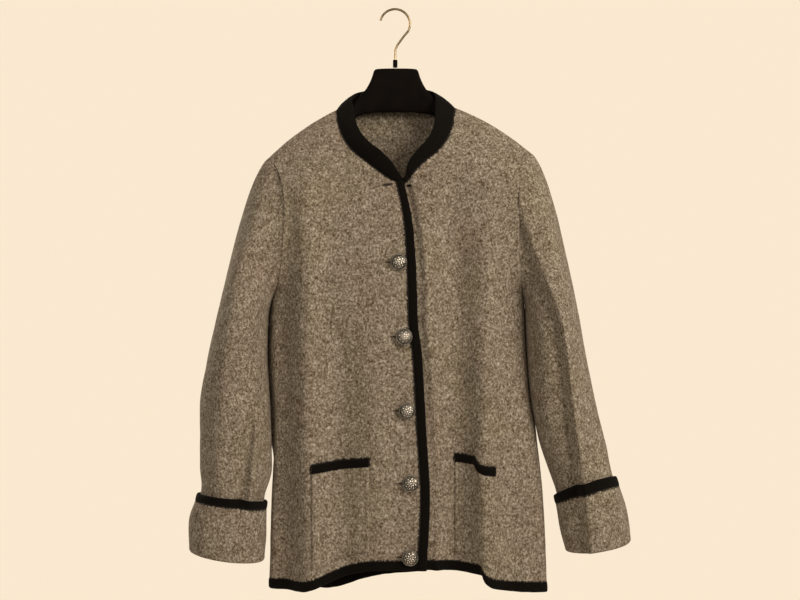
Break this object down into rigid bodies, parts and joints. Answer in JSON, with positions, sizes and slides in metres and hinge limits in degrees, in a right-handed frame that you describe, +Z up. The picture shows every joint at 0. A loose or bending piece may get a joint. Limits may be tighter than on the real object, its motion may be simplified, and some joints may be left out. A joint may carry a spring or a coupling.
{
  "type": "tyrolean loden jacket on a contoured coat hanger",
  "caption": "Boiled-wool tyrolean jacket with dark knit bindings, stand collar, patch pockets and turned-back cuffs, buttoned and hanging on a black contoured hanger.",
  "frame": {"origin": "inside top of the hanger's hook, where a peg or a rail carries it", "axes": "+Z up, the front of the jacket towards -Y, the wearer's right side at -X"},
  "size_m": [0.6368, 0.1398, 0.8706],
  "materials": {
    "boiled_wool": "felted, matt, grey-brown melange",
    "felted_knit": "felted black knit",
    "pewter": "antique pewter, worn bright on the relief",
    "hanger_plastic": "satin black",
    "plated_wire": "plated, slightly warm"
  },
  "bodies": {
    "root": {"back": "boiled_wool", "cuff_left": "boiled_wool", "cuff_right": "boiled_wool", "front_left": "boiled_wool", "front_right": "boiled_wool", "pocket_left": "boiled_wool", "pocket_right": "boiled_wool", "sleeve_left": "boiled_wool", "sleeve_right": "boiled_wool", "collar": "felted_knit", "cuff_binding_left": "felted_knit", "cuff_binding_right": "felted_knit", "edge_binding_left": "felted_knit", "edge_binding_right": "felted_knit", "hem_binding_back": "felted_knit", "hem_binding_front_left": "felted_knit", "hem_binding_front_right": "felted_knit", "pocket_binding_left": "felted_knit", "pocket_binding_right": "felted_knit", "button_1": "pewter", "button_2": "pewter", "button_3": "pewter", "button_4": "pewter", "button_5": "pewter", "hanger_body": "hanger_plastic", "hanger_ferrule": "hanger_plastic", "hanger_hook": "plated_wire"}
  },
  "joints": []
}
